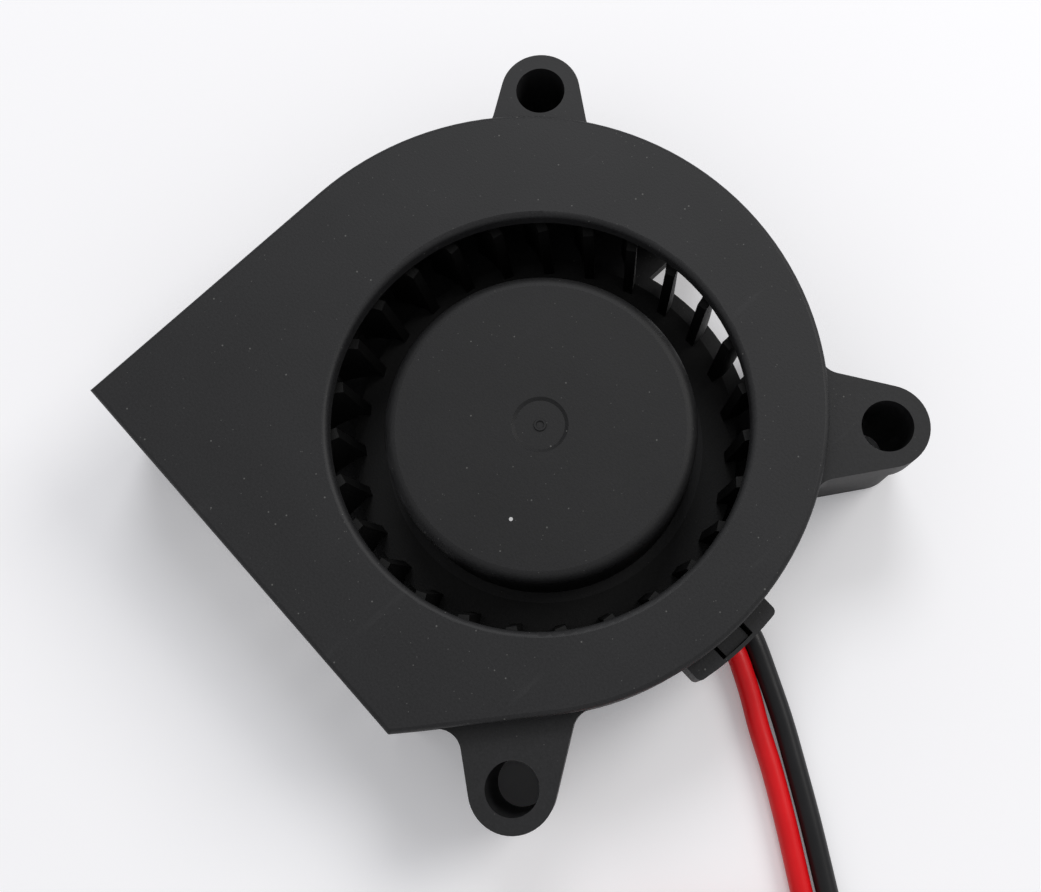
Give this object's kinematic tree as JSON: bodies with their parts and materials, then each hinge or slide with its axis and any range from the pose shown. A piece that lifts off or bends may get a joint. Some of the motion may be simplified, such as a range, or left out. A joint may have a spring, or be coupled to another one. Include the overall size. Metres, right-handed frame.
{
  "type": "dc centrifugal blower fan",
  "caption": "Flat square-class dc centrifugal blower with an open axial inlet, a side outlet, screw ears and red and black lead wires ending in a small connector.",
  "frame": {"origin": "rotor axis where it meets the plane of the rear (closed) face", "axes": "+Z along the rotor axis out of the inlet, -Y out of the outlet, +X towards the side where the leads leave"},
  "size_m": [0.075, 0.0641, 0.012],
  "materials": {
    "housing": "fine-grained black PBT",
    "rotor": "smooth black PBT",
    "brass": "turned",
    "sintered": "oil-filled sintered bronze",
    "steel": "ground",
    "silicon_steel": "stamped sheet",
    "magnet": "bonded ferrite, matt",
    "natural_plastic": "off-white nylon",
    "enamelled_copper": "lacquered copper wire",
    "board": "green solder mask",
    "chip": "moulded package",
    "ceramic_chip": "ceramic with tinned ends",
    "tin": "tinned",
    "red_pvc": "smooth pvc",
    "black_pvc": "smooth pvc"
  },
  "bodies": {
    "housing": {"frame": "housing", "top_cover": "housing", "bearing_tube": "brass", "sleeve_bearing": "sintered", "thrust_pad": "natural_plastic", "stator_core": "silicon_steel", "insulator_lower": "natural_plastic", "insulator_upper": "natural_plastic", "windings": "enamelled_copper", "coil_pins": "tin", "circuit_board": "board", "driver_ic": "chip", "chip_capacitor": "ceramic_chip", "chip_resistor": "chip", "solder_joints": "tin", "inner_lead_red": "red_pvc", "inner_lead_black": "black_pvc", "lead_red": "red_pvc", "lead_black": "black_pvc", "lead_coil": "red_pvc", "plug_housing": "natural_plastic", "plug_contacts": "tin"},
    "rotor": {"impeller": "rotor", "yoke": "steel", "ring_magnet": "magnet", "shaft": "steel", "oil_ring": "natural_plastic", "retaining_ring": "steel"}
  },
  "joints": [
    {"name": "rotor_spin", "type": "hinge", "parent": "housing", "child": "rotor", "pos_m": [0, 0, 0], "axis": [0, 0, 1], "continuous": true}
  ]
}
